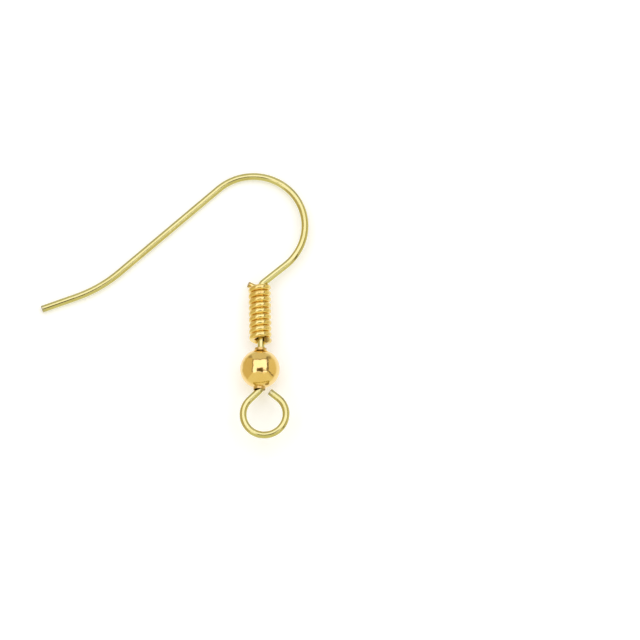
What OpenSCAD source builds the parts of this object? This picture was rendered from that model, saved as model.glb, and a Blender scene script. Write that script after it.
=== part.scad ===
// Fish-hook ear wire with a wound coil and a sliding ball, lying flat.
// Lengths are in millimetres and angles in degrees.
// The wire is bent in one plane: u runs across the shank, v runs up along it,
// with u = 0 on the shank's middle and v = 0 at the ball's. The plane is then laid
// on the floor.

/* [Wire] */
// Thickness of the wire
wire_d = 0.54; // [0.4:0.02:0.7]
// What the wire loses in radius where it is bent
bend_thinning = 0.008; // [0.006:0.001:0.012]
// Chamfer round the cut ends of the wire
end_chamfer = 0.05; // [0.02:0.01:0.1]

/* [Hook] */
// Turn from the shank to the straight behind the coil
top_turn = 51.4; // [40:0.2:65]
// Inside radius of the bend above the coil
top_inner_r = 0.25; // [0.15:0.05:0.6]
// Length of the straight between that bend and the bow
rise_len = 2.07; // [1:0.01:4]
// Clear width inside the round bow
bow_inner_d = 7.32; // [5:0.02:10]
// How far round the bow goes
bow_sweep = 182.3; // [160:0.1:200]
// Length of the straight leg
leg_len = 9.81; // [6:0.01:14]
// Inside radius of the flick near the tip
flick_inner_r = 9.7; // [4:0.1:15]
// Outward turn of the flick
flick_turn = 21.7; // [5:0.1:30]
// Length of the straight tail at the tip
tail_len = 2.78; // [1.5:0.02:5]

/* [Loop] */
// Clear width inside the open loop
loop_inner_d = 2.68; // [2:0.02:4]
// How far round the loop goes
loop_sweep = 277; // [265:1:290]
// Length of the straight free end
loop_end_len = 0.79; // [0.4:0.02:1]
// Turn from the shank to the side of the loop
neck_turn = 46; // [44:1:56]
// Inside radius of the neck bend
neck_inner_r = 0.3; // [0.2:0.05:0.6]
// Length of the straight between the neck bend and the loop
neck_len = 0.92; // [0.5:0.02:1.2]

/* [Ball] */
// Diameter of the ball
ball_d = 3; // [2:0.1:4]
// Wall of the hollow ball
ball_wall = 0.25; // [0.15:0.05:0.4]
// Gap all round the wire in the ball's holes
bore_clearance = 0.14; // [0.14:0.01:0.25]
// Wall of the lip round each hole
lip_wall = 0.05; // [0.04:0.01:0.12]
// How far a lip stands out of the ball
lip_h = 0.11; // [0.03:0.01:0.15]
// How far the ball can slide up towards the coil
ball_play = 0.29; // [0.2:0.01:1]
// How far the ball hangs to the left of the wire's middle
ball_shift = 0.07; // [0:0.01:0.08]
// Lean of the ball on the wire, its lower end to the left
ball_lean = 1.5; // [0:0.5:1.5]

/* [Coil] */
// Thickness of the coil's wire
coil_wire_d = 0.44; // [0.3:0.005:0.5]
// Gap all round between the shank and the coil
coil_clearance = 0.135; // [0.08:0.005:0.2]
// Whole turns of the coil
coil_turns = 9; // [4:1:14]
// Gap from one turn to the next
turn_gap = 0.02; // [0.01:0.002:0.05]
// Where the lower end lies, counted from the right and away from the viewer
coil_start_angle = -48; // [-60:1:0]
// Where the upper end leaves the round, counted the same way
coil_end_angle = 110; // [90:1:140]
// Length of the straight upper end
coil_end_len = 0.76; // [0.3:0.02:1]
// How steeply that end rises along the shank, beyond the run of the turns
coil_end_lift = 14; // [0:1:20]
// How far the coil lies to the left of the wire's middle
coil_shift = 0.08; // [0:0.01:0.08]
// Lean of the coil on the shank, its upper end to the left
coil_lean = 1; // [0:0.25:1]

/* [Clearances] */
// Gap left at each end of the ball's travel and above the coil
stop_gap = 0.03; // [0.02:0.01:0.08]
// Gap between the neck bend and the rim of the ball's lower hole
neck_gap = 0.04; // [0.02:0.01:0.06]

/* [Hidden] */
$fn = 96;

// How far a straight runs into the bend beside it
splice = 0.03;
// Sides of the coil's wire, and its rings in one turn
coil_sides = 10;
turn_rings = 20;
// Rounds of the search for the resting tilt
tilt_rounds = 8;

wire_r = wire_d / 2;
bend_wire_r = wire_r - bend_thinning;
ball_r = ball_d / 2;
ball_half = ball_r + lip_h;
bore_r = wire_r + bore_clearance;
lip_r = bore_r + lip_wall;

// The coil: where its wire's centre runs
coil_r = coil_wire_d / 2;
coil_mid_r = wire_r + coil_clearance + coil_r;
coil_pitch = coil_wire_d + turn_gap;
coil_sweep = 360 * coil_turns + coil_end_angle - coil_start_angle;
coil_start_v = ball_half + ball_play + stop_gap + coil_r;
coil_len = coil_pitch * coil_sweep / 360;
coil_mid_v = coil_start_v + coil_len / 2;
coil_right_v = coil_start_v + coil_pitch * (360 * coil_turns - coil_start_angle) / 360;
coil_right_u = coil_mid_r - coil_shift - (coil_right_v - coil_mid_v) * tan(coil_lean);

// The wire's corner above the coil clears the coil's last turn on the right
top_r = top_inner_r + wire_r;
top_heading = 90 - top_turn;
top_reach = (wire_r + coil_r + stop_gap) / cos(top_heading);
top_corner_v = coil_right_v - coil_right_u * tan(top_heading) + top_reach;
top_start_v = top_corner_v - top_r * tan(top_turn / 2);
rise_start = [top_r, top_start_v] + top_r * aim(90 + top_heading);

// The bow, the leg, the flick and the tail, each starting where the last one ends
bow_r = bow_inner_d / 2 + wire_r;
bow_start = rise_start + rise_len * aim(top_heading);
bow_mid = bow_start + bow_r * aim(top_heading + 90);
leg_heading = top_heading + bow_sweep;
leg_start = bow_mid + bow_r * aim(leg_heading - 90);
flick_r = flick_inner_r + wire_r;
flick_start = leg_start + leg_len * aim(leg_heading);
flick_mid = flick_start + flick_r * aim(leg_heading - 90);
tail_heading = leg_heading - flick_turn;
tail_start = flick_mid + flick_r * aim(tail_heading + 90);
tip = tail_start + tail_len * aim(tail_heading);

// The neck bend starts inside the ball's lower hole, as deep as its rim allows
neck_r = neck_inner_r + wire_r;
neck_side = bore_clearance + ball_shift + ball_half * sin(ball_lean) - neck_gap;
neck_depth = sqrt(neck_inner_r ^ 2 - max(neck_inner_r - neck_side, 0) ^ 2);
neck_start_v = neck_depth - ball_half;
neck_mid = [-neck_r, neck_start_v];
neck_heading = 270 - neck_turn;
neck_end = neck_mid + neck_r * aim(neck_heading + 90);

// The loop, from the neck round to the free end
loop_r = loop_inner_d / 2 + wire_r;
loop_start = neck_end + neck_len * aim(neck_heading);
loop_mid = loop_start + loop_r * aim(neck_heading + 90);
loop_heading = neck_heading + loop_sweep;
loop_end = loop_mid + loop_r * aim(loop_heading - 90);

// At rest the ball, the bow and the tip touch the floor. The plane's height over
// the floor is ball_r + slope * [u + ball_shift, v].
slope = floor_slope(tilt_rounds);
rest_tilt = asin(norm(slope));
rest_axis = [slope[1], -slope[0], 0];

// The middle of the outline, which is set over the origin
outline_low = [tip[0], loop_mid[1] - loop_r - wire_r];
outline_high = [bow_mid[0] + bow_r + wire_r, bow_mid[1] + bow_r + wire_r];
outline_mid = (outline_low + outline_high) / 2;

function aim(a) = [cos(a), sin(a)];

// The slope at which the tip rests at height wire_r and the bow's lowest point does too
function floor_slope(n) =
    let (
        steep = n < 1 ? 0 : norm(floor_slope(n - 1)),
        far = tip + [ball_shift, 0],
        high = bow_mid + [ball_shift, 0],
        drop_tip = wire_r - ball_r,
        drop_bow = wire_r - ball_r + bow_r * steep,
        det = far[0] * high[1] - far[1] * high[0]
    )
    [
        (drop_tip * high[1] - drop_bow * far[1]) / det,
        (drop_bow * far[0] - drop_tip * high[0]) / det
    ];

// Lays what is drawn in the wire's plane on the floor
module laid_down() {
    translate([-ball_shift - outline_mid[0], -outline_mid[1], ball_r])
        rotate(a = rest_tilt, v = rest_axis)
            translate([ball_shift, 0, 0])
                children();
}

// A straight of wire from a point along a heading
module straight(from, heading, len) {
    translate([from[0], from[1], 0])
        rotate([0, 90, heading])
            cylinder(h = len, r = wire_r);
}

// A straight that ends in a chamfered cut
module cut_end(from, heading, len) {
    straight(from, heading, len - end_chamfer);
    translate([from[0], from[1], 0])
        rotate([0, 90, heading])
            translate([0, 0, len - end_chamfer])
                cylinder(h = end_chamfer, r1 = wire_r, r2 = wire_r - end_chamfer);
}

// A bend of wire about a point, from one angle on through a sweep
module bend(mid, r, from_angle, sweep) {
    translate([mid[0], mid[1], 0])
        rotate([0, 0, from_angle])
            rotate_extrude(angle = sweep)
                translate([r, 0])
                    circle(r = bend_wire_r);
}

// A straight between two bends, run into both
module spliced(from, heading, len) {
    straight(from - splice * aim(heading), heading, len + 2 * splice);
}

module ear_wire() {
    color("gold")
        laid_down()
            union() {
                cut_end(tail_start - splice * aim(tail_heading), tail_heading, tail_len + splice);
                bend(flick_mid, flick_r, tail_heading + 90, flick_turn);
                spliced(leg_start, leg_heading, leg_len);
                bend(bow_mid, bow_r, top_heading - 90, bow_sweep);
                spliced(rise_start, top_heading, rise_len);
                bend([top_r, top_start_v], top_r, 180 - top_turn, top_turn);
                spliced([0, neck_start_v], 90, top_start_v - neck_start_v);
                bend(neck_mid, neck_r, -neck_turn, neck_turn);
                spliced(neck_end, neck_heading, neck_len);
                bend(loop_mid, loop_r, neck_heading - 90, loop_sweep);
                cut_end(loop_end - splice * aim(loop_heading), loop_heading, loop_end_len + splice);
            }
}

// The coil's centre line: round the shank up to the last turn, then straight on
function coil_out(a) = [cos(a), sin(a), 0];
coil_climb = coil_pitch / (2 * PI * coil_mid_r);
function coil_along(a, climb = coil_climb) = [-sin(a), cos(a), climb] / norm([1, climb]);
function coil_point(a) =
    coil_mid_r * coil_out(a) + [0, 0, coil_pitch * (a - coil_start_angle) / 360];

// One ring of the coil's wire round a point of its centre line, square to its run
function ring(at, a, r, along) =
    let (out = coil_out(a), over = cross(along, out))
    [for (i = [0 : coil_sides - 1])
        at + r * (cos(i * 360 / coil_sides) * out + sin(i * 360 / coil_sides) * over)];

module coil_shape() {
    last = coil_start_angle + coil_sweep;
    steps = ceil(coil_sweep / 360 * turn_rings);
    first_at = coil_point(coil_start_angle);
    first_along = coil_along(coil_start_angle);
    last_at = coil_point(last);
    last_along = coil_along(last, coil_climb + tan(coil_end_lift));
    rings = concat(
        [ring(first_at - 2 * end_chamfer * first_along, coil_start_angle,
            coil_r - end_chamfer, first_along)],
        [ring(first_at - end_chamfer * first_along, coil_start_angle, coil_r, first_along)],
        [for (i = [0 : steps])
            let (a = coil_start_angle + i * coil_sweep / steps)
            ring(coil_point(a), a, coil_r, coil_along(a))],
        [ring(last_at + (coil_end_len - end_chamfer) * last_along, last, coil_r, last_along)],
        [ring(last_at + coil_end_len * last_along, last, coil_r - end_chamfer, last_along)]
    );
    count = len(rings);
    sides = [for (j = [0 : count - 2], i = [0 : coil_sides - 1])
        let (n = (i + 1) % coil_sides)
        [j * coil_sides + i, (j + 1) * coil_sides + i, (j + 1) * coil_sides + n, j * coil_sides + n]];
    low_cap = [for (i = [0 : coil_sides - 1]) i];
    high_cap = [for (i = [coil_sides - 1 : -1 : 0]) (count - 1) * coil_sides + i];
    polyhedron(points = [for (r = rings) each r], faces = concat([low_cap], sides, [high_cap]));
}

module coil() {
    color("goldenrod")
        laid_down()
            translate([-coil_shift, coil_mid_v, 0])
                rotate([-90, 0, coil_lean])
                    translate([0, 0, -coil_len / 2])
                        coil_shape();
}

module ball() {
    color("khaki")
        laid_down()
            translate([-ball_shift, 0, 0])
                rotate([-90, 0, -ball_lean])
                    difference() {
                        union() {
                            sphere(r = ball_r);
                            cylinder(h = 2 * ball_half, r = lip_r, center = true);
                        }
                        sphere(r = ball_r - ball_wall);
                        cylinder(h = 3 * ball_half, r = bore_r, center = true);
                    }
}

ear_wire();
coil();
ball();
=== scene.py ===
import math

import bmesh
import bpy
from mathutils import Matrix, Vector, noise


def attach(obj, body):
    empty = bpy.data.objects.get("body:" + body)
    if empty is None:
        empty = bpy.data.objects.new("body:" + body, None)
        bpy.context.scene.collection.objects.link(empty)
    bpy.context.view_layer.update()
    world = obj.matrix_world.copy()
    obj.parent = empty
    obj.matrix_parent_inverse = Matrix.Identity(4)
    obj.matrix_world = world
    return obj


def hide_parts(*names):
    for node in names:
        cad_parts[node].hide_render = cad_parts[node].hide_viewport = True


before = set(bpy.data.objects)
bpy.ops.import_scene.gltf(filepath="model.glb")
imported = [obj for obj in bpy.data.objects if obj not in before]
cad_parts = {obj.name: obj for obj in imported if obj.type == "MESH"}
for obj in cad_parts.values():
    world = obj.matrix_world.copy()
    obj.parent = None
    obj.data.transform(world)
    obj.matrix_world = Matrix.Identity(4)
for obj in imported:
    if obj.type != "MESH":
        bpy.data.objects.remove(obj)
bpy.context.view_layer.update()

mm = 0.001

# the bent wire: lengths in millimetres, turns in degrees
earWire = {
    "thickness": 0.54,
    "topTurn": 51.4,        # from the shank to the straight behind the coil
    "topInnerRadius": 0.25,
    "riseLength": 2.07,
    "bowInnerWidth": 7.32,
    "bowTurn": 182.3,
    "legLength": 9.81,
    "flickInnerRadius": 9.7,
    "flickTurn": 21.7,
    "tailLength": 2.78,
    "neckTurn": 46,         # from the shank to the side of the loop
    "neckInnerRadius": 0.3,
    "neckLength": 0.92,
    "neckGap": 0.04,
    "loopInnerWidth": 2.68,
    "loopTurn": 277,
    "loopEndLength": 0.79,
    "sides": 48,
    "bendStep": 2.5,        # degrees of bend from ring to ring
    "straightStep": 0.35,
    "endRounding": 0.05,
    "endShares": (0, 0.04, 0.15, 0.33, 0.6, 1),     # places of the rings in that rounding
    "shankSteps": 20,
    "wearAndShadeLength": 0.22,     # the plating is thin by the cuts, and the cut ends also get painted shade this far
    "handWaver": 0.066,     # how far the hand-bent wire strays from true
    "waverLength": 12,
    "waverFadeIn": 4,       # from the shank's top
    "waverSeed": 115,
}

# the wire wound round the shank
coilWire = {
    "thickness": 0.44,
    "turnGap": 0.02,
    "shankGap": 0.135,
    "wholeTurns": 9,
    "startAngle": -48,
    "endAngle": 110,
    "endLength": 0.76,
    "endLift": 14,          # how steeply the upper end rises beyond the run of the turns
    "shift": 0.08,
    "lean": 1,
    "fullness": 0.008,      # the turns close up against each other
    "sides": 28,
    "ringsPerTurn": 72,
    "endRings": 26,
    "endEasing": 2.2,       # how much closer the rings are towards the cut
    "unevenness": 0.006,
    "unevenPace": 0.32,
    "endRounding": 0.04,
    # the coil's cut ends get wear and painted shade this far
    "wearAndShadeLength": 0.27,
    "seed": 4,
}

# the hollow ball and the lips of its two holes
ballBead = {
    "diameter": 3,
    "wall": 0.25,
    "boreGap": 0.14,
    "lipWall": 0.05,
    "lipHeight": 0.11,
    "rimRounding": 0.018,
    "fillet": 0.05,
    "play": 0.29,
    "stopGap": 0.03,
    "shift": 0.07,
    "lean": 1.5,
    "around": 224,
    "rimSteps": 4,
    "filletSteps": 6,
    "outsideSteps": 44,
    "insideSteps": 40,
    "filletShade": 0.8,      # how dark the painted shade in the lip's crease gets; the rim has 1, for wear and painted shade
    # painted shade inside the hollow ball
    "insideShade": 0.3,
    "rimUnevenness": 0.006,
    "rimLumps": 3.74,       # pace of the rim's lumps, round the hole and through it
    "rimLumpsThrough": 1.7,
}


def aim(angle):
    return Vector((math.cos(math.radians(angle)), math.sin(math.radians(angle))))


# follows straights and bends from a point; a bend to the left counts up
def walk(at, heading, moves):
    points, centres = [at.copy()], []
    for amount, radius in moves:
        if radius is None:
            steps = max(1, round(amount / earWire["straightStep"]))
            start = points[-1]
            points += [start + aim(heading) * amount * i / steps for i in range(1, steps + 1)]
            continue
        side = 90 if amount > 0 else -90
        centre = points[-1] + aim(heading + side) * radius
        steps = math.ceil(abs(amount) / earWire["bendStep"])
        for i in range(1, steps + 1):
            points.append(centre + aim(heading - side + amount * i / steps) * radius)
        heading += amount
        centres.append(centre)
    return points, centres


wireR = earWire["thickness"] / 2
ballR = ballBead["diameter"] / 2
ballHalf = ballR + ballBead["lipHeight"]
coilR = coilWire["thickness"] / 2
coilMidR = wireR + coilWire["shankGap"] + coilR
coilPitch = coilWire["thickness"] + coilWire["turnGap"]
coilSweep = 360 * coilWire["wholeTurns"] + coilWire["endAngle"] - coilWire["startAngle"]
coilStartV = ballHalf + ballBead["play"] + ballBead["stopGap"] + coilR
coilLength = coilPitch * coilSweep / 360
coilMidV = coilStartV + coilLength / 2

# where the shank ends above the coil and below the ball
climbToRight = 360 * coilWire["wholeTurns"] - coilWire["startAngle"]
coilRightV = coilStartV + coilPitch * climbToRight / 360
coilLeanOut = (coilRightV - coilMidV) * math.tan(math.radians(coilWire["lean"]))
coilRightU = coilMidR - coilWire["shift"] - coilLeanOut
topR = earWire["topInnerRadius"] + wireR
riseHeading = math.radians(90 - earWire["topTurn"])
topReach = (wireR + coilR + ballBead["stopGap"]) / math.cos(riseHeading)
topCorner = coilRightV - coilRightU * math.tan(riseHeading) + topReach
shankTop = topCorner - topR * math.tan(math.radians(earWire["topTurn"] / 2))
neckSide = (ballBead["boreGap"] + ballBead["shift"] - earWire["neckGap"]
            + ballHalf * math.sin(math.radians(ballBead["lean"])))
neckFree = max(earWire["neckInnerRadius"] - neckSide, 0)
shankFoot = math.sqrt(earWire["neckInnerRadius"] ** 2 - neckFree ** 2) - ballHalf

bowR = earWire["bowInnerWidth"] / 2 + wireR
loopR = earWire["loopInnerWidth"] / 2 + wireR
upper, upperCentres = walk(Vector((0, shankTop)), 90, [
    (-earWire["topTurn"], topR),
    (earWire["riseLength"], None),
    (earWire["bowTurn"], bowR),
    (earWire["legLength"], None),
    (-earWire["flickTurn"], earWire["flickInnerRadius"] + wireR),
    (earWire["tailLength"], None),
])
lower, lowerCentres = walk(Vector((0, shankFoot)), 270, [
    (-earWire["neckTurn"], earWire["neckInnerRadius"] + wireR),
    (earWire["neckLength"], None),
    (earWire["loopTurn"], loopR),
    (earWire["loopEndLength"], None),
])


# the plane of the bends, laid down on the ball, the bow and the tip
def restingPlace():
    tip = upper[-1] + Vector((ballBead["shift"], 0))
    bow = upperCentres[1] + Vector((ballBead["shift"], 0))
    slope = Vector((0, 0))
    for _ in range(8):
        dropTip = wireR - ballR
        dropBow = wireR - ballR + bowR * slope.length
        det = tip.x * bow.y - tip.y * bow.x
        slope = Vector(((dropTip * bow.y - dropBow * tip.y) / det,
                        (dropBow * tip.x - dropTip * bow.x) / det))
    low = Vector((upper[-1].x, lowerCentres[1].y - loopR - wireR))
    high = upperCentres[1] + Vector((bowR + wireR, bowR + wireR))
    middle = (low + high) / 2
    tilt = Matrix.Rotation(math.asin(slope.length), 4, Vector((slope.y, -slope.x, 0)))
    return (Matrix.Scale(mm, 4)
            @ Matrix.Translation((-ballBead["shift"] - middle.x, -middle.y, ballR))
            @ tilt
            @ Matrix.Translation((ballBead["shift"], 0, 0)))


laid = restingPlace()
downTheShank = Matrix.Rotation(math.radians(-90), 4, "X")
coilPlace = (laid @ Matrix.Translation((-coilWire["shift"], coilMidV, 0))
             @ Matrix.Rotation(math.radians(coilWire["lean"]), 4, "Z")
             @ downTheShank @ Matrix.Translation((0, 0, -coilLength / 2)))
ballPlace = (laid @ Matrix.Translation((-ballBead["shift"], 0, 0))
             @ Matrix.Rotation(math.radians(-ballBead["lean"]), 4, "Z") @ downTheShank)
print("places worked out")


# small helpers for node trees
def addNode(tree, kind, inputs=(), **settings):
    made = tree.nodes.new(kind)
    for key, value in settings.items():
        setattr(made, key, value)
    for key, value in dict(inputs).items():
        if isinstance(value, bpy.types.NodeSocket):
            tree.links.new(value, made.inputs[key])
        else:
            made.inputs[key].default_value = value
    return made


def calc(tree, operation, *values, clamp=False):
    made = addNode(tree, "ShaderNodeMath", dict(enumerate(values)), operation=operation)
    made.use_clamp = clamp
    return made.outputs[0]


def ramp(tree, value, low, high, start=0.0, end=1.0):
    made = addNode(tree, "ShaderNodeMapRange", interpolation_type="SMOOTHSTEP", inputs={
        "Value": value, "From Min": low, "From Max": high, "To Min": start, "To Max": end})
    return made.outputs[0]


def blendColours(tree, factor, first, second):
    made = addNode(tree, "ShaderNodeMix", data_type="RGBA")
    for index, value in ((0, factor), (6, first), (7, second)):
        if isinstance(value, bpy.types.NodeSocket):
            tree.links.new(value, made.inputs[index])
        else:
            made.inputs[index].default_value = value
    return made.outputs[2]


def newTree(name, kind, sockets):
    tree = bpy.data.node_groups.new(name, kind)
    for direction, label, form, value in sockets:
        socket = tree.interface.new_socket(label, in_out=direction, socket_type="NodeSocket" + form)
        if value is not None:
            socket.default_value = value
    given = tree.nodes.new("NodeGroupInput").outputs
    out = tree.nodes.new("NodeGroupOutput").inputs
    return tree, given, out


# the effects that the three platings share; levels are those of a noise, from 0 to 1
plateEffects = {
    "grainFineness": 7,             # against the clouds
    "grainShare": 0.2,
    "deepLevels": (0.36, 0.66),     # the pale colour turns into the deep one between them
    "smudgeLevels": (0.42, 0.62),
    "scratchSets": ((0.5, 9), (1.9, 14), (2.7, 11)),    # turn and stretch of each set
    "scratchWidth": 0.022,
    "scratchPatches": 0.21,         # pace of the patches that hold scratches
    "patchLevels": (0.5, 0.6),
    "scratchTint": 0.35,
    "scratchDull": 0.12,
    "drawnStretch": (0.6, 15, 15),  # along the wire and across it
    "lacquerRoughness": 0.06,
    "lacquerIor": 1.45,
}


def makeToneGroup():
    tree, given, out = newTree("platingTone", "ShaderNodeTree", [
        ("INPUT", "Vector", "Vector", None),
        ("INPUT", "Pale", "Color", (1, 0.8, 0.4, 1)),
        ("INPUT", "Deep", "Color", (0.9, 0.6, 0.2, 1)),
        ("INPUT", "Cloud Size", "Float", 1.0),
        ("INPUT", "Spread", "Float", 0.5),
        ("OUTPUT", "Color", "Color", None),
        ("OUTPUT", "Smudge", "Float", None),
    ])
    perMetre = calc(tree, "DIVIDE", 1 / mm, given["Cloud Size"])
    clouds = addNode(tree, "ShaderNodeTexNoise", {
        "Vector": given["Vector"], "Scale": perMetre, "Detail": 4, "Roughness": 0.55})
    grain = addNode(tree, "ShaderNodeTexNoise", {
        "Vector": given["Vector"], "Detail": 3,
        "Scale": calc(tree, "MULTIPLY", perMetre, plateEffects["grainFineness"])})
    share = plateEffects["grainShare"]
    mixed = calc(tree, "ADD", calc(tree, "MULTIPLY", clouds.outputs[0], 1 - share),
                 calc(tree, "MULTIPLY", grain.outputs[0], share))
    deepened = ramp(tree, mixed, *plateEffects["deepLevels"])
    shade = calc(tree, "MULTIPLY", deepened, given["Spread"], clamp=True)
    tree.links.new(blendColours(tree, shade, given["Pale"], given["Deep"]), out["Color"])
    tree.links.new(ramp(tree, clouds.outputs[0], *plateEffects["smudgeLevels"]), out["Smudge"])
    return tree


def makeScratchGroup():
    tree, given, out = newTree("handlingScratches", "ShaderNodeTree", [
        ("INPUT", "Vector", "Vector", None),
        ("INPUT", "Spacing", "Float", 0.3),
        ("INPUT", "Cover", "Float", 0.5),
        ("OUTPUT", "Mask", "Float", None),
    ])
    perMetre = calc(tree, "DIVIDE", 1 / mm, given["Spacing"])
    total = None
    for turn, stretch in plateEffects["scratchSets"]:
        turned = addNode(tree, "ShaderNodeMapping", {
            "Vector": given["Vector"], "Rotation": (turn, 0.4 * turn, turn),
            "Scale": (1, stretch, 0.8)})
        lines = addNode(tree, "ShaderNodeTexNoise", {
            "Vector": turned.outputs[0], "Scale": perMetre, "Detail": 1.5, "Distortion": 0.15})
        offMiddle = calc(tree, "ABSOLUTE", calc(tree, "SUBTRACT", lines.outputs[0], 0.5))
        thin = ramp(tree, offMiddle, 0.0, plateEffects["scratchWidth"], 1.0, 0.0)
        patches = addNode(tree, "ShaderNodeTexNoise", {
            "Vector": turned.outputs[0],
            "Scale": calc(tree, "MULTIPLY", perMetre, plateEffects["scratchPatches"])})
        scratched = ramp(tree, patches.outputs[0], *plateEffects["patchLevels"])
        here = calc(tree, "MULTIPLY", thin, scratched)
        total = here if total is None else calc(tree, "MAXIMUM", total, here)
    tree.links.new(calc(tree, "MULTIPLY", total, given["Cover"], clamp=True), out["Mask"])
    return tree


def makeReliefGroup():
    tree, given, out = newTree("platingRelief", "ShaderNodeTree", [
        ("INPUT", "Vector", "Vector", None),
        ("INPUT", "Along", "Vector", None),
        ("INPUT", "Wave Size", "Float", 0.8),
        ("INPUT", "Wave", "Float", 1.0),
        ("INPUT", "Drawn Lines", "Float", 0.0),
        ("OUTPUT", "Height", "Float", None),
    ])
    perMetre = calc(tree, "DIVIDE", 1 / mm, given["Wave Size"])
    waves = addNode(tree, "ShaderNodeTexNoise", {
        "Vector": given["Vector"], "Scale": perMetre, "Detail": 2, "Roughness": 0.4})
    stretched = addNode(tree, "ShaderNodeMapping", {
        "Vector": given["Along"], "Scale": plateEffects["drawnStretch"]})
    lines = addNode(tree, "ShaderNodeTexNoise", {
        "Vector": stretched.outputs[0], "Scale": 1, "Detail": 3, "Roughness": 0.6})
    height = calc(tree, "ADD", calc(tree, "MULTIPLY", waves.outputs[0], given["Wave"]),
                  calc(tree, "MULTIPLY", lines.outputs[0], given["Drawn Lines"]))
    tree.links.new(height, out["Height"])
    return tree


toneGroup = makeToneGroup()
scratchGroup = makeScratchGroup()
reliefGroup = makeReliefGroup()


# gold plating: every value that differs from piece to piece is in the look
def makePlating(name, look):
    material = bpy.data.materials.new(name)
    material.use_nodes = True
    tree = material.node_tree
    shader = tree.nodes["Principled BSDF"]
    place = tree.nodes.new("ShaderNodeTexCoord").outputs["Object"]
    along = addNode(tree, "ShaderNodeAttribute", attribute_name="alongWire").outputs["Vector"]
    wearAndShade = addNode(tree, "ShaderNodeAttribute", attribute_name="wearAndShade").outputs["Fac"]
    tone = addNode(tree, "ShaderNodeGroup", node_tree=toneGroup)
    scratches = addNode(tree, "ShaderNodeGroup", node_tree=scratchGroup)
    relief = addNode(tree, "ShaderNodeGroup", node_tree=reliefGroup)
    for group, values in ((tone, {"Pale": look["pale"], "Deep": look["deep"],
                                  "Cloud Size": look["cloudSize"], "Spread": look["spread"]}),
                          (scratches, {"Spacing": look["scratchSpacing"],
                                       "Cover": look["scratchCover"]}),
                          (relief, {"Wave Size": look["waveSize"], "Wave": look["wave"],
                                    "Drawn Lines": look["drawnLines"]})):
        tree.links.new(place, group.inputs["Vector"])
        for key, value in values.items():
            group.inputs[key].default_value = value
    tree.links.new(along, relief.inputs["Along"])
    # blends towards a darker colour by the cuts, the hole's rim, the lip's crease and inside the
    # ball: partly wear, partly painted shade
    colour = blendColours(tree, calc(tree, "MULTIPLY", wearAndShade, look["wearAndShadeAmount"], clamp=True),
                          tone.outputs["Color"], look["wearAndShadeColour"])
    scratched = scratches.outputs["Mask"]
    tint = calc(tree, "MULTIPLY", scratched, plateEffects["scratchTint"])
    colour = blendColours(tree, tint, colour, look["scratchColour"])
    rough = ramp(tree, tone.outputs["Smudge"], 0, 1, look["smooth"], look["dull"])
    rough = calc(tree, "ADD", rough, calc(tree, "MULTIPLY", scratched, plateEffects["scratchDull"]))
    rough = calc(tree, "ADD", rough, calc(tree, "MULTIPLY", wearAndShade, look["wornDull"]), clamp=True)
    height = calc(tree, "SUBTRACT", relief.outputs["Height"],
                  calc(tree, "MULTIPLY", scratched, look["scratchDepth"]))
    bump = addNode(tree, "ShaderNodeBump", {
        "Height": height, "Distance": look["reliefHeight"] * mm, "Strength": 1.0})
    tree.links.new(colour, shader.inputs["Base Color"])
    tree.links.new(rough, shader.inputs["Roughness"])
    tree.links.new(bump.outputs[0], shader.inputs["Normal"])
    shader.inputs["Metallic"].default_value = 1.0
    shader.inputs["Coat Weight"].default_value = look["lacquer"]
    shader.inputs["Coat Roughness"].default_value = plateEffects["lacquerRoughness"]
    shader.inputs["Coat IOR"].default_value = plateEffects["lacquerIor"]
    return material


wirePlating = makePlating("wirePlating", {
    "pale": (0.7, 0.635, 0.275, 1), "deep": (0.62, 0.545, 0.195, 1),
    "cloudSize": 1.6, "spread": 0.6,
    "scratchSpacing": 0.5, "scratchCover": 0.5, "scratchColour": (1.0, 0.86, 0.5, 1),
    "scratchDepth": 0.6, "waveSize": 0.9, "wave": 1.0, "drawnLines": 0.35,
    "reliefHeight": 0.004, "smooth": 0.05, "dull": 0.12, "lacquer": 0.25,
    # a grey for wear and painted shade at the cut ends
    "wearAndShadeAmount": 0.8, "wearAndShadeColour": (0.45, 0.41, 0.31, 1), "wornDull": 0.2,
})
coilPlating = makePlating("coilPlating", {
    "pale": (0.94, 0.725, 0.28, 1), "deep": (0.87, 0.605, 0.18, 1),
    "cloudSize": 1.2, "spread": 0.7,
    "scratchSpacing": 0.4, "scratchCover": 0.5, "scratchColour": (1.0, 0.82, 0.42, 1),
    "scratchDepth": 0.5, "waveSize": 0.6, "wave": 1.0, "drawnLines": 0.4,
    "reliefHeight": 0.004, "smooth": 0.16, "dull": 0.26, "lacquer": 0.2,
    # a dark brown for wear and painted shade at the cut ends
    "wearAndShadeAmount": 0.88, "wearAndShadeColour": (0.38, 0.26, 0.09, 1), "wornDull": 0.25,
})
ballPlating = makePlating("ballPlating", {
    "pale": (0.97, 0.7, 0.28, 1), "deep": (0.93, 0.62, 0.2, 1),
    "cloudSize": 1.4, "spread": 0.6,
    "scratchSpacing": 0.6, "scratchCover": 0.4, "scratchColour": (1.0, 0.85, 0.45, 1),
    "scratchDepth": 0.5, "waveSize": 0.9, "wave": 1.0, "drawnLines": 0.0,
    "reliefHeight": 0.004, "smooth": 0.04, "dull": 0.1, "lacquer": 0.25,
    # an orange brown for wear at the hole's rim and for painted shade in the lip's crease and
    # inside the ball
    "wearAndShadeAmount": 0.85, "wearAndShadeColour": (0.62, 0.40, 0.13, 1), "wornDull": 0.22,
})
print("platings made")


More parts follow.
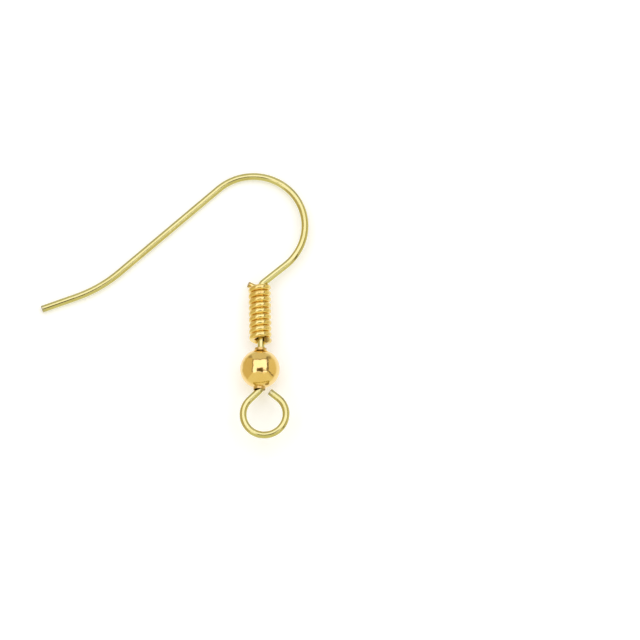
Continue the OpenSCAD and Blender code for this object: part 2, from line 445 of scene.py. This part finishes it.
# the end of both wire trees: sweeps a round section along a centre line
def sweepAndFinish(tree, given, out, line):
    ring = addNode(tree, "GeometryNodeCurvePrimitiveCircle", {
        "Resolution": given["Sides"], "Radius": given["Wire Radius"]})
    position = addNode(tree, "GeometryNodeInputPosition").outputs[0]
    ring = addNode(tree, "GeometryNodeStoreNamedAttribute", data_type="FLOAT_VECTOR", inputs={
        "Geometry": ring.outputs["Curve"], "Name": "acrossWire", "Value": position})
    runLength = addNode(tree, "GeometryNodeSplineParameter").outputs["Length"]
    line = addNode(tree, "GeometryNodeStoreNamedAttribute", data_type="FLOAT", inputs={
        "Geometry": line, "Name": "runLength", "Value": runLength})
    whole = addNode(tree, "GeometryNodeSplineLength").outputs["Length"]
    line = addNode(tree, "GeometryNodeStoreNamedAttribute", data_type="FLOAT", inputs={
        "Geometry": line.outputs[0], "Name": "wholeLength", "Value": whole})
    toEnd = calc(tree, "MINIMUM", runLength, calc(tree, "SUBTRACT", whole, runLength))
    share = calc(tree, "DIVIDE", toEnd, given["End Rounding"], clamp=True)
    short = calc(tree, "SUBTRACT", 1.0, share)
    squared = calc(tree, "MULTIPLY", short, short)
    quarter = calc(tree, "SQRT", calc(tree, "SUBTRACT", 1.0, squared))
    lost = calc(tree, "DIVIDE", given["End Rounding"], given["Wire Radius"])
    scale = calc(tree, "SUBTRACT", 1.0,
                 calc(tree, "MULTIPLY", lost, calc(tree, "SUBTRACT", 1.0, quarter)))
    tube = addNode(tree, "GeometryNodeCurveToMesh", {
        "Curve": line.outputs[0], "Profile Curve": ring.outputs[0],
        "Scale": scale, "Fill Caps": True})
    run = addNode(tree, "GeometryNodeInputNamedAttribute", {"Name": "runLength"}).outputs[0]
    across = addNode(tree, "GeometryNodeInputNamedAttribute", {"Name": "acrossWire"},
                     data_type="FLOAT_VECTOR").outputs[0]
    apart = addNode(tree, "ShaderNodeSeparateXYZ", {0: across}).outputs
    joined = addNode(tree, "ShaderNodeCombineXYZ", {0: run, 1: apart[0], 2: apart[1]}).outputs[0]
    tube = addNode(tree, "GeometryNodeStoreNamedAttribute", data_type="FLOAT_VECTOR", inputs={
        "Geometry": tube.outputs[0], "Name": "alongWire", "Value": joined})
    whole = addNode(tree, "GeometryNodeInputNamedAttribute", {"Name": "wholeLength"}).outputs[0]
    # darker towards each cut: wear and painted shade, kept as an attribute for the plating
    fromCut = calc(tree, "MINIMUM", run, calc(tree, "SUBTRACT", whole, run))
    covered = calc(tree, "DIVIDE", fromCut, given["Wear And Shade Length"], clamp=True)
    wearAndShade = calc(tree, "SUBTRACT", 1.0, covered)
    tube = addNode(tree, "GeometryNodeStoreNamedAttribute", data_type="FLOAT", inputs={
        "Geometry": tube.outputs[0], "Name": "wearAndShade", "Value": calc(tree, "MULTIPLY", wearAndShade, wearAndShade)})
    smooth = addNode(tree, "GeometryNodeSetShadeSmooth", {"Geometry": tube.outputs[0]})
    real = addNode(tree, "GeometryNodeRealizeInstances", {"Geometry": smooth.outputs[0]})
    finished = addNode(tree, "GeometryNodeSetMaterial", {
        "Geometry": real.outputs[0], "Material": given["Finish"]})
    tree.links.new(finished.outputs[0], out["Geometry"])


commonSockets = [
    ("INPUT", "Geometry", "Geometry", None),
    ("INPUT", "Wire Radius", "Float", 0.25),
    ("INPUT", "Sides", "Int", 32),
    ("INPUT", "End Rounding", "Float", 0.05),
    ("INPUT", "Wear And Shade Length", "Float", 0.2),
    ("INPUT", "Finish", "Material", None),
]


def makeSweepTree():
    tree, given, out = newTree("sweepWire", "GeometryNodeTree",
                               commonSockets + [("OUTPUT", "Geometry", "Geometry", None)])
    line = addNode(tree, "GeometryNodeMeshToCurve", {"Mesh": given["Geometry"]})
    sweepAndFinish(tree, given, out, line.outputs[0])
    return tree


# the coil's centre line is wound from its index: round and up, then straight on and steeper
def makeWindTree():
    tree, given, out = newTree("windCoil", "GeometryNodeTree", commonSockets + [
        ("INPUT", "Coil Radius", "Float", 0.6),
        ("INPUT", "Pitch", "Float", 0.43),
        ("INPUT", "Start Angle", "Float", 0.0),
        ("INPUT", "Sweep", "Float", 58.0),
        ("INPUT", "End Length", "Float", 0.7),
        ("INPUT", "End Slope", "Float", 0.2),
        ("INPUT", "Rings Per Turn", "Int", 48),
        ("INPUT", "Unevenness", "Float", 0.0),
        ("INPUT", "Seed", "Int", 0),
        ("OUTPUT", "Geometry", "Geometry", None),
    ])
    perTurn = calc(tree, "DIVIDE", given["Sweep"], 2 * math.pi)
    rings = calc(tree, "CEIL", calc(tree, "MULTIPLY", perTurn, given["Rings Per Turn"]))
    endRings = coilWire["endRings"]
    count = calc(tree, "ADD", rings, endRings + 1)
    line = addNode(tree, "GeometryNodeMeshLine", {
        "Count": count, "Start Location": (0, 0, 0), "Offset": (0, 0, 1)})
    curve = addNode(tree, "GeometryNodeMeshToCurve", {"Mesh": line.outputs[0]})
    index = addNode(tree, "GeometryNodeInputIndex").outputs[0]
    done = calc(tree, "DIVIDE", calc(tree, "MINIMUM", index, rings), rings)
    turned = calc(tree, "MULTIPLY", done, given["Sweep"])
    angle = calc(tree, "ADD", turned, given["Start Angle"])
    height = calc(tree, "MULTIPLY", calc(tree, "DIVIDE", turned, 2 * math.pi), given["Pitch"])
    # the straight end takes closer steps towards its cut
    beyond = calc(tree, "MAXIMUM", calc(tree, "SUBTRACT", index, rings), 0.0)
    past = calc(tree, "DIVIDE", beyond, endRings, clamp=True)
    left = calc(tree, "POWER", calc(tree, "SUBTRACT", 1.0, past), coilWire["endEasing"])
    eased = calc(tree, "SUBTRACT", 1.0, left)
    straight = calc(tree, "MULTIPLY", eased, given["End Length"])
    where = addNode(tree, "ShaderNodeCombineXYZ", {
        0: calc(tree, "MULTIPLY", turned, coilWire["unevenPace"]), 1: given["Seed"]})
    wander = addNode(tree, "ShaderNodeTexNoise", noise_dimensions="2D", inputs={
        "Vector": where.outputs[0], "Scale": 1.0, "Detail": 1.0})
    stray = calc(tree, "MULTIPLY", calc(tree, "SUBTRACT", wander.outputs[0], 0.5), 2.0)
    stray = calc(tree, "MULTIPLY", stray, given["Unevenness"])
    radius = calc(tree, "ADD", given["Coil Radius"], stray)
    outX, outY = calc(tree, "COSINE", angle), calc(tree, "SINE", angle)
    girth = calc(tree, "MULTIPLY", given["Coil Radius"], 2 * math.pi)
    climb = calc(tree, "DIVIDE", given["Pitch"], girth)
    rise = calc(tree, "ADD", climb, given["End Slope"])
    longer = calc(tree, "SQRT", calc(tree, "ADD", 1.0, calc(tree, "MULTIPLY", rise, rise)))
    slant = calc(tree, "DIVIDE", straight, longer)
    x = calc(tree, "SUBTRACT", calc(tree, "MULTIPLY", radius, outX),
             calc(tree, "MULTIPLY", slant, outY))
    y = calc(tree, "ADD", calc(tree, "MULTIPLY", radius, outY),
             calc(tree, "MULTIPLY", slant, outX))
    z = calc(tree, "ADD", height, calc(tree, "MULTIPLY", slant, rise))
    wound = addNode(tree, "GeometryNodeSetPosition", {
        "Geometry": curve.outputs[0],
        "Position": addNode(tree, "ShaderNodeCombineXYZ", {0: x, 1: y, 2: z}).outputs[0]})
    sweepAndFinish(tree, given, out, wound.outputs[0])
    return tree


# runs a tree on an object and leaves a plain mesh, placed in metres
def growPiece(name, mesh, tree, values, place):
    holder = bpy.data.objects.new(name + "Line", mesh)
    bpy.context.collection.objects.link(holder)
    modifier = holder.modifiers.new("grow", "NODES")
    modifier.node_group = tree
    for item in tree.interface.items_tree:
        if item.in_out == "INPUT" and item.name in values:
            modifier[item.identifier] = values[item.name]
    grown = holder.evaluated_get(bpy.context.evaluated_depsgraph_get())
    plain = bpy.data.meshes.new_from_object(grown)
    holder.modifiers.remove(modifier)
    bpy.data.objects.remove(holder)
    plain.name = name
    plain.transform(place)
    return settle(name, plain, values["Finish"])


def settle(name, mesh, material):
    mesh.materials.clear()
    mesh.materials.append(material)
    mesh.update()
    piece = bpy.data.objects.new(name, mesh)
    bpy.context.collection.objects.link(piece)
    return piece


# splits the first and last straight finely, so that the cut ends can be rounded
def withFineEnds(points):
    def finely(end, inner):
        way = (inner - end).normalized()
        return [end + way * (earWire["endRounding"] * share) for share in earWire["endShares"]]
    return (finely(points[0], points[1]) + points[1:-1]
            + list(reversed(finely(points[-1], points[-2]))))


# slight stray of the bow, the leg and the tail, none where the coil and the ball sit
def strayed(flat):
    at = flat.to_3d()
    onShank = abs(at.x) < 1e-6
    if onShank or at.y < 0:
        return at
    share = min(1, (flat - Vector((0, shankTop))).length / earWire["waverFadeIn"])
    stray = noise.noise_vector(at / earWire["waverLength"]) * earWire["handWaver"] * share
    stray.z = 0
    return at + stray


def makeEarWire():
    steps = earWire["shankSteps"]
    shank = [Vector((0, shankTop + (shankFoot - shankTop) * i / steps)) for i in range(1, steps)]
    path = withFineEnds(list(reversed(upper)) + shank + lower)
    noise.seed_set(earWire["waverSeed"])
    points = [strayed(flat) for flat in path]
    mesh = bpy.data.meshes.new("earWireLine")
    mesh.from_pydata(points, [(i, i + 1) for i in range(len(points) - 1)], [])
    return growPiece("bentWire", mesh, makeSweepTree(), {
        "Wire Radius": wireR, "Sides": earWire["sides"],
        "End Rounding": earWire["endRounding"], "Wear And Shade Length": earWire["wearAndShadeLength"],
        "Finish": wirePlating}, laid)


def makeCoil():
    mesh = bpy.data.meshes.new("coilLine")
    return growPiece("woundCoil", mesh, makeWindTree(), {
        "Wire Radius": coilR + coilWire["fullness"], "Sides": coilWire["sides"],
        "End Rounding": coilWire["endRounding"], "Wear And Shade Length": coilWire["wearAndShadeLength"],
        "Finish": coilPlating,
        "Coil Radius": coilMidR, "Pitch": coilPitch,
        "Start Angle": math.radians(coilWire["startAngle"]),
        "Sweep": math.radians(coilSweep), "End Length": coilWire["endLength"],
        "End Slope": math.tan(math.radians(coilWire["endLift"])),
        "Rings Per Turn": coilWire["ringsPerTurn"],
        "Unevenness": coilWire["unevenness"], "Seed": coilWire["seed"]}, coilPlace)


# the bead's section, from the top hole's rim down the outside and back up inside
def beadSection():
    bore = wireR + ballBead["boreGap"]
    lip = bore + ballBead["lipWall"]
    soft = ballBead["rimRounding"]
    inner = ballR - ballBead["wall"]
    section = []
    # from the hole over the lip: radius, height and the share of wear and painted shade
    for rim, start in ((bore + soft, 180), (lip - soft, 90)):
        for i in range(ballBead["rimSteps"] + 1):
            turn = math.radians(start - 90 * i / ballBead["rimSteps"])
            rise = ballHalf - soft + soft * math.sin(turn)
            section.append((rim + soft * math.cos(turn), rise, 1))
    # a small fillet where the lip rises out of the round, with painted shade in its crease
    fillet = ballBead["fillet"]
    filletX = lip + fillet
    filletZ = math.sqrt((ballR + fillet) ** 2 - filletX ** 2)
    meet = math.degrees(math.atan2(filletZ, filletX))
    for i in range(ballBead["filletSteps"] + 1):
        share = i / ballBead["filletSteps"]
        turn = math.radians(180 + meet * share)
        section.append((filletX + fillet * math.cos(turn), filletZ + fillet * math.sin(turn),
                        ballBead["filletShade"] * (1 - share)))
    for i in range(1, ballBead["outsideSteps"] + 1):
        turn = math.radians(meet * (1 - i / ballBead["outsideSteps"]))
        section.append((ballR * math.cos(turn), ballR * math.sin(turn), 0))
    section += [(r, -z, wearAndShadeWeight) for r, z, wearAndShadeWeight in reversed(section[:-1])]
    # inside the hollow, darkened a little by painted shade
    top = math.acos(bore / inner)
    for i in range(ballBead["insideSteps"] + 1):
        turn = -top + 2 * top * i / ballBead["insideSteps"]
        section.append((inner * math.cos(turn), inner * math.sin(turn), ballBead["insideShade"]))
    return section


def makeBall():
    section = beadSection()
    count, around = len(section), ballBead["around"]
    lumps, through = ballBead["rimLumps"], ballBead["rimLumpsThrough"]
    body = bmesh.new()
    # each point's share of wear and painted shade goes to the plating
    wearAndShadeLayer = body.verts.layers.float.new("wearAndShade")
    rings = []
    for j in range(around):
        angle = 2 * math.pi * j / around
        ring = []
        for r, z, wearAndShadeWeight in section:
            at = Vector((lumps * math.cos(angle), lumps * math.sin(angle), through * z))
            rough = noise.noise(at)
            lift = ballBead["rimUnevenness"] * rough * wearAndShadeWeight
            vert = body.verts.new((r * math.cos(angle), r * math.sin(angle),
                                   z + math.copysign(lift, z)))
            vert[wearAndShadeLayer] = wearAndShadeWeight
            ring.append(vert)
        rings.append(ring)
    for j in range(around):
        first, second = rings[j], rings[(j + 1) % around]
        for i in range(count):
            n = (i + 1) % count
            body.faces.new((first[i], first[n], second[n], second[i]))
    bmesh.ops.recalc_face_normals(body, faces=body.faces)
    for face in body.faces:
        face.smooth = True
    mesh = bpy.data.meshes.new("ballBead")
    body.to_mesh(mesh)
    body.free()
    mesh.transform(ballPlace)
    return settle("ballBead", mesh, ballPlating)


bentWire = makeEarWire()
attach(bentWire, "wire")
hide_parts("ear_wire")
print("wire bent")
woundCoil = makeCoil()
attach(woundCoil, "wire")
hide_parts("coil")
print("coil wound")
bead = makeBall()
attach(bead, "ball")
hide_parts("ball")
print("ball turned")

# the pale table, the light tent and the camera; places in the tent are those at which a
# mirror ball shows them, with its radius as 1; a box has left, right, low, high and the
# softness of its edge
studio = {
    "cameraDistance": 1.2,
    "cameraTilt": 12,       # degrees from straight above, from the loop's side
    "pictureWidth": 0.048,
    "ballToPicture": (0.0045, 0.003683),    # from the ball's middle, right and up
    "tableRadius": 0.6,
    "tableSides": 96,
    "tableDrop": 0.000004,  # below the part, so that the two don't coincide
    "tableWhite": 0.95,
    "tableLift": (0.27, 0.28, 0.29, 1),
    "backdrop": (1.0, 1.0, 1.0, 1),
    "roofLight": (1.46, 1.45, 1.62, 1),
    "roof": (-0.335, 0.335, -0.15, 0.47, 0.012),
    "seamLight": (0.22, 0.19, 0.13, 1),
    "leftSeam": (-0.395, -0.335, -0.15, 0.52, 0.02),
    "topSeam": (-0.395, 0.385, 0.47, 0.52, 0.02),
    "rightSeam": (0.335, 0.435, -0.1, 0.59, 0.018),
    "leftCorner": (-0.56, -0.4, 0.56, 0.68, 0.04),
    "rightCorner": (0.34, 0.56, 0.52, 0.64, 0.05),
    "seamDepth": 0.6,       # how dark the thin seams, the corners and the arm are
    "cornerDepth": 0.7,
    "armDepth": 0.9,
    "arm": (0.0, 0.42, -0.085, -0.045, 0.012),
    "bentArm": (0.4, 0.66, 0.02),   # left, right and softness
    "bentArmPlace": (0.1, 0.2, 0.015),  # across its slope: from, to and softness
    "lensLight": (0.12, 0.085, 0.03, 1),
    "lens": (-0.17, 0.15, -0.132, 0.07, 0.035),
    "rightPanel": (0.76, 0.68, 0.4, 1),
    "leftPanel": (0.67, 0.57, 0.31, 1),
    "backPanel": (0.7, 0.68, 0.52, 1),
    "frontPanel": (0.82, 0.79, 0.51, 1),
    "panelCentre": (0.0, 0.16),
    "panelBlend": 0.03,
    "floorLight": (1.0, 1.01, 0.98, 1),
    "floorCentre": (-0.03, 0.04),
    "floorStart": 0.80,
    "floorFull": 0.90,
    "folds": 4.0,
    "wobble": 0.14,         # how far the folds move what is seen
    "nearest": 0.01,
    "farthest": 5,
}


# a white plate: mirrors look past it, into the lower part of the tent
def makeTable():
    body = bmesh.new()
    bmesh.ops.create_circle(body, cap_ends=True, radius=studio["tableRadius"],
                          segments=studio["tableSides"])
    mesh = bpy.data.meshes.new("table")
    body.to_mesh(mesh)
    body.free()
    mesh.transform(Matrix.Translation((0, 0, -studio["tableDrop"])))
    table = bpy.data.objects.new("table", mesh)
    bpy.context.collection.objects.link(table)
    material = bpy.data.materials.new("lightTable")
    material.use_nodes = True
    tree = material.node_tree
    tree.nodes.remove(tree.nodes["Principled BSDF"])
    white = studio["tableWhite"]
    matt = addNode(tree, "ShaderNodeBsdfDiffuse", {"Color": (white, white, white, 1)})
    glow = addNode(tree, "ShaderNodeEmission", {"Color": studio["tableLift"], "Strength": 1.0})
    plate = addNode(tree, "ShaderNodeAddShader", {0: matt.outputs[0], 1: glow.outputs[0]})
    clear = tree.nodes.new("ShaderNodeBsdfTransparent")
    rays = addNode(tree, "ShaderNodeLightPath").outputs
    solid = calc(tree, "MAXIMUM", rays["Is Camera Ray"], rays["Is Diffuse Ray"])
    both = addNode(tree, "ShaderNodeMixShader", {
        0: solid, 1: clear.outputs[0], 2: plate.outputs[0]})
    tree.links.new(both.outputs[0], tree.nodes["Material Output"].inputs["Surface"])
    mesh.materials.append(material)


def makeTent():
    world = bpy.data.worlds.new("lightTent")
    bpy.context.scene.world = world
    world.use_nodes = True
    tree = world.node_tree
    tree.nodes.clear()
    way = addNode(tree, "ShaderNodeMapping", {
        "Vector": tree.nodes.new("ShaderNodeTexCoord").outputs["Generated"],
        "Rotation": (-math.radians(studio["cameraTilt"]), 0, 0)}).outputs[0]
    lifted = addNode(tree, "ShaderNodeVectorMath", {0: way, 1: (0, 0, 1.0001)}, operation="ADD")
    unit = addNode(tree, "ShaderNodeVectorMath", {0: lifted.outputs[0]}, operation="NORMALIZE")
    # the cloth hangs a little out of true
    folds = addNode(tree, "ShaderNodeTexNoise", {
        "Vector": unit.outputs[0], "Scale": studio["folds"], "Detail": 1})
    sway = addNode(tree, "ShaderNodeVectorMath", operation="SUBTRACT", inputs={
        0: folds.outputs["Color"], 1: (0.5, 0.5, 0.5)})
    sway = addNode(tree, "ShaderNodeVectorMath", operation="SCALE", inputs={
        0: sway.outputs[0], "Scale": studio["wobble"]})
    swayed = addNode(tree, "ShaderNodeVectorMath", {0: unit.outputs[0], 1: sway.outputs[0]},
                     operation="ADD")
    x, y, _ = addNode(tree, "ShaderNodeSeparateXYZ", {0: swayed.outputs[0]}).outputs

    def between(value, low, high, soft):
        return calc(tree, "MULTIPLY", ramp(tree, value, low - soft, low + soft),
                    ramp(tree, value, high - soft, high + soft, 1.0, 0.0))

    def patch(name):
        left, right, low, high, soft = studio[name]
        return calc(tree, "MULTIPLY", between(x, left, right, soft), between(y, low, high, soft))

    def either(first, second):
        return calc(tree, "MAXIMUM", first, second)

    # four side panels that meet on the diagonals
    px = calc(tree, "SUBTRACT", x, studio["panelCentre"][0])
    py = calc(tree, "SUBTRACT", y, studio["panelCentre"][1])
    spread = studio["panelBlend"]
    upRight = ramp(tree, calc(tree, "ADD", px, py), -spread, spread)
    downRight = ramp(tree, calc(tree, "SUBTRACT", px, py), -spread, spread)
    rightOrBack = blendColours(tree, downRight, studio["backPanel"], studio["rightPanel"])
    frontOrLeft = blendColours(tree, downRight, studio["leftPanel"], studio["frontPanel"])
    light = blendColours(tree, upRight, frontOrLeft, rightOrBack)
    # dark corners and dark seams round the roof light
    faint = either(patch("leftSeam"), patch("topSeam"))
    corners = either(patch("leftCorner"), patch("rightCorner"))
    seam = either(calc(tree, "MULTIPLY", faint, studio["seamDepth"]), patch("rightSeam"))
    seam = either(seam, calc(tree, "MULTIPLY", corners, studio["cornerDepth"]))
    light = blendColours(tree, patch("roof"), light, studio["roofLight"])
    light = blendColours(tree, seam, light, studio["seamLight"])
    # the camera over the opening, and its arm that goes off to the right and bends down
    bent = calc(tree, "MULTIPLY", between(x, *studio["bentArm"]),
                between(calc(tree, "ADD", px, py), *studio["bentArmPlace"]))
    arm = calc(tree, "MULTIPLY", either(patch("arm"), bent), studio["armDepth"])
    light = blendColours(tree, arm, light, studio["seamLight"])
    light = blendColours(tree, patch("lens"), light, studio["lensLight"])
    # the lit floor far below
    off = addNode(tree, "ShaderNodeCombineXYZ", {
        0: calc(tree, "SUBTRACT", x, studio["floorCentre"][0]),
        1: calc(tree, "SUBTRACT", y, studio["floorCentre"][1])}).outputs[0]
    reach = addNode(tree, "ShaderNodeVectorMath", {0: off}, operation="LENGTH").outputs["Value"]
    floor = ramp(tree, reach, studio["floorStart"], studio["floorFull"])
    light = blendColours(tree, floor, light, studio["floorLight"])
    seen = addNode(tree, "ShaderNodeLightPath").outputs["Is Camera Ray"]
    shown = blendColours(tree, seen, light, studio["backdrop"])
    glow = addNode(tree, "ShaderNodeBackground", {"Color": shown, "Strength": 1.0})
    out = tree.nodes.new("ShaderNodeOutputWorld")
    tree.links.new(glow.outputs[0], out.inputs["Surface"])


def makeCamera():
    camera = bpy.data.objects.new("camera", bpy.data.cameras.new("camera"))
    bpy.context.collection.objects.link(camera)
    bpy.context.scene.camera = camera
    tilt = math.radians(studio["cameraTilt"])
    across, up = studio["ballToPicture"]
    middle = laid @ Vector((-ballBead["shift"], 0, 0))
    middle += Vector((across, up * math.cos(tilt), up * math.sin(tilt)))
    back = Vector((0, -math.sin(tilt), math.cos(tilt)))
    camera.location = middle + back * studio["cameraDistance"]
    camera.rotation_euler = (tilt, 0, 0)
    shrink = studio["cameraDistance"] / studio["pictureWidth"]
    camera.data.lens = camera.data.sensor_width * shrink
    camera.data.clip_start = studio["nearest"]
    camera.data.clip_end = studio["farthest"]
    bpy.context.scene.view_settings.view_transform = "Standard"


makeTable()
makeTent()
makeCamera()
print("studio set")
